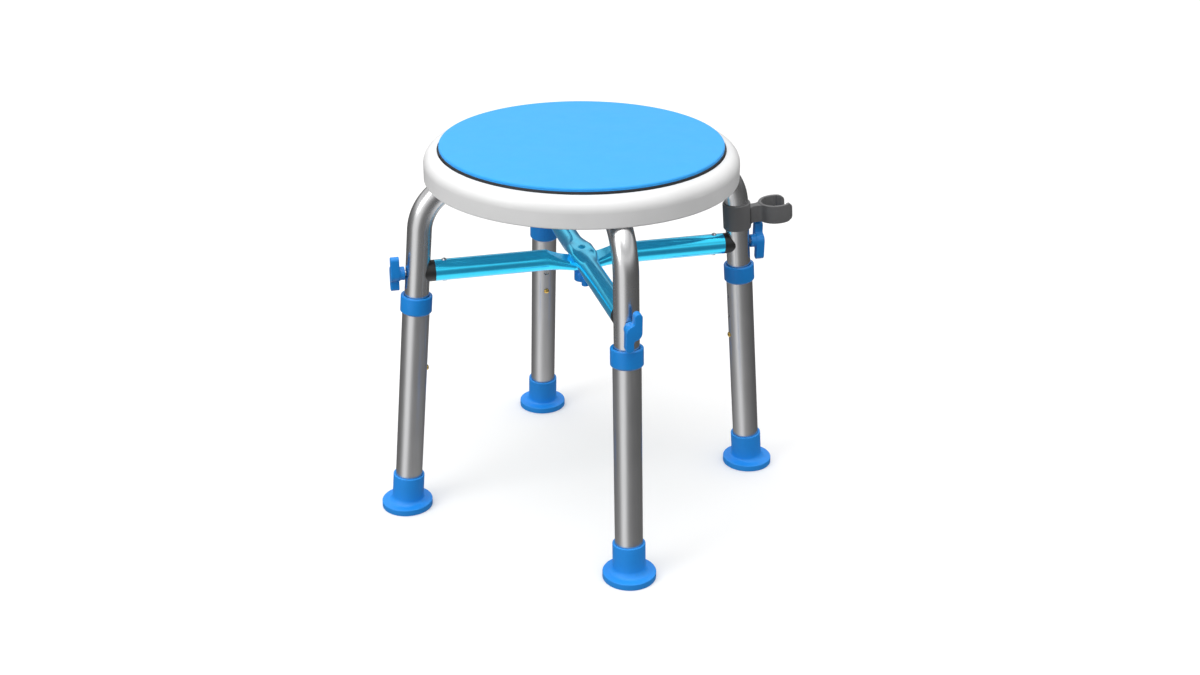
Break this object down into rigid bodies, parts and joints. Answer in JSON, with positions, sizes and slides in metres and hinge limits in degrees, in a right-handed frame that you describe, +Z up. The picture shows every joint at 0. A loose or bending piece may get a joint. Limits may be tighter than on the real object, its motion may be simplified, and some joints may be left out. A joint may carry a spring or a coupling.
{
  "type": "shower stool",
  "caption": "Round shower stool with a swivelling padded seat, telescopic splayed legs, a crossed brace with hand knobs and a clip that holds a shower handset.",
  "frame": {"origin": "on the floor, below the seat's axis", "axes": "+Z up; the legs stand on the diagonals, the right leg with the holder towards +X +Y"},
  "size_m": [0.3401, 0.3401, 0.4013],
  "materials": {
    "white_plastic": "smooth satin moulding",
    "blue_foam": "soft matt foam",
    "dark_plastic": "matt",
    "aluminium": "satin anodised",
    "cyan_metal": "glossy metallic cyan",
    "blue_plastic": "smooth satin moulding",
    "blue_rubber": "matt moulded rubber",
    "black_plastic": "matt",
    "grey_plastic": "satin moulding",
    "steel": "zinc plated",
    "chrome": "polished",
    "brass": "polished",
    "nylon": "matt"
  },
  "bodies": {
    "frame": {"seat_shell": "white_plastic", "leg_socket_frame": "white_plastic", "frame_screws": "steel", "leg_bolts": "steel", "bearing_lower_race": "steel", "pivot_bolt": "steel", "pivot_washer": "steel", "pivot_nut": "steel", "upper_leg_front": "aluminium", "upper_leg_right": "aluminium", "upper_leg_back": "aluminium", "upper_leg_left": "aluminium", "button_spring_front": "steel", "button_spring_right": "steel", "button_spring_back": "steel", "button_spring_left": "steel", "brace_saddle_front": "black_plastic", "brace_saddle_right": "black_plastic", "brace_saddle_back": "black_plastic", "brace_saddle_left": "black_plastic", "brace_tube_upper": "cyan_metal", "brace_tube_lower": "cyan_metal", "saddle_nuts": "steel", "saddle_pins": "chrome", "centre_bolt": "chrome"},
    "swivel_top": {"swivel_pad": "blue_foam", "swivel_plate": "dark_plastic", "bearing_upper_race": "steel"},
    "ball_ring": {"bearing_balls": "steel", "ball_cage": "nylon"},
    "leg_front": {"lower_leg_front": "aluminium", "collar_front": "blue_plastic", "foot_front": "blue_rubber"},
    "leg_right": {"lower_leg_right": "aluminium", "collar_right": "blue_plastic", "foot_right": "blue_rubber"},
    "leg_back": {"lower_leg_back": "aluminium", "collar_back": "blue_plastic", "foot_back": "blue_rubber"},
    "leg_left": {"lower_leg_left": "aluminium", "collar_left": "blue_plastic", "foot_left": "blue_rubber"},
    "button_front": {"height_button_front": "brass"},
    "button_right": {"height_button_right": "brass"},
    "button_back": {"height_button_back": "brass"},
    "button_left": {"height_button_left": "brass"},
    "knob_front": {"hand_knob_front": "blue_plastic", "knob_stud_front": "steel"},
    "knob_right": {"hand_knob_right": "blue_plastic", "knob_stud_right": "steel"},
    "knob_back": {"hand_knob_back": "blue_plastic", "knob_stud_back": "steel"},
    "knob_left": {"hand_knob_left": "blue_plastic", "knob_stud_left": "steel"},
    "knob_centre": {"centre_knob": "blue_plastic"},
    "holder": {"handset_holder": "grey_plastic"}
  },
  "joints": [
    {"name": "swivel", "type": "hinge", "parent": "frame", "child": "swivel_top", "pos_m": [0, 0, 0.3911], "axis": [0, 0, 1], "continuous": true},
    {"name": "ball_ring_roll", "type": "hinge", "parent": "frame", "child": "ball_ring", "pos_m": [0, 0, 0.3911], "axis": [0, 0, 1], "continuous": true},
    {"name": "leg_front_height", "type": "slide", "parent": "frame", "child": "leg_front", "axis": [0.0592, -0.0592, -0.9965], "range_m": [0, 0.048], "deforming": ["height_button_front"]},
    {"name": "leg_right_height", "type": "slide", "parent": "frame", "child": "leg_right", "axis": [0.0592, 0.0592, -0.9965], "range_m": [0, 0.048], "deforming": ["height_button_right"]},
    {"name": "leg_back_height", "type": "slide", "parent": "frame", "child": "leg_back", "axis": [-0.0592, 0.0592, -0.9965], "range_m": [0, 0.048], "deforming": ["height_button_back"]},
    {"name": "leg_left_height", "type": "slide", "parent": "frame", "child": "leg_left", "axis": [-0.0592, -0.0592, -0.9965], "range_m": [0, 0.048], "deforming": ["height_button_left"]},
    {"name": "button_front_press", "type": "slide", "parent": "frame", "child": "button_front", "axis": [0.7046, -0.7046, 0.0837], "range_m": [0, 0.0036], "stiffness_N_per_m": 400, "springref_m": -0.001, "deforming": ["button_spring_front"]},
    {"name": "button_right_press", "type": "slide", "parent": "frame", "child": "button_right", "axis": [0.7046, 0.7046, 0.0837], "range_m": [0, 0.0036], "stiffness_N_per_m": 400, "springref_m": -0.001, "deforming": ["button_spring_right"]},
    {"name": "button_back_press", "type": "slide", "parent": "frame", "child": "button_back", "axis": [-0.7046, 0.7046, 0.0837], "range_m": [0, 0.0036], "stiffness_N_per_m": 400, "springref_m": -0.001, "deforming": ["button_spring_back"]},
    {"name": "button_left_press", "type": "slide", "parent": "frame", "child": "button_left", "axis": [-0.7046, -0.7046, 0.0837], "range_m": [0, 0.0036], "stiffness_N_per_m": 400, "springref_m": -0.001, "deforming": ["button_spring_left"]},
    {"name": "knob_front_turn", "type": "hinge", "parent": "frame", "child": "knob_front", "pos_m": [0.13435, -0.13435, 0.2738], "axis": [0.7071, -0.7071, 0], "continuous": true},
    {"name": "knob_right_turn", "type": "hinge", "parent": "frame", "child": "knob_right", "pos_m": [0.13435, 0.13435, 0.2738], "axis": [0.7071, 0.7071, 0], "continuous": true},
    {"name": "knob_back_turn", "type": "hinge", "parent": "frame", "child": "knob_back", "pos_m": [-0.13435, 0.13435, 0.2738], "axis": [-0.7071, 0.7071, 0], "continuous": true},
    {"name": "knob_left_turn", "type": "hinge", "parent": "frame", "child": "knob_left", "pos_m": [-0.13435, -0.13435, 0.2738], "axis": [-0.7071, -0.7071, 0], "continuous": true},
    {"name": "knob_centre_turn", "type": "hinge", "parent": "frame", "child": "knob_centre", "pos_m": [0, 0, 0.255], "axis": [0, 0, 1], "continuous": true},
    {"name": "holder_turn", "type": "hinge", "parent": "frame", "child": "holder", "pos_m": [0.12169, 0.12169, 0.305], "axis": [-0.0592, -0.0592, 0.9965], "continuous": true}
  ],
  "couplings": [
    {"joint": "ball_ring_roll", "follows": "swivel", "ratio": 0.5}
  ]
}
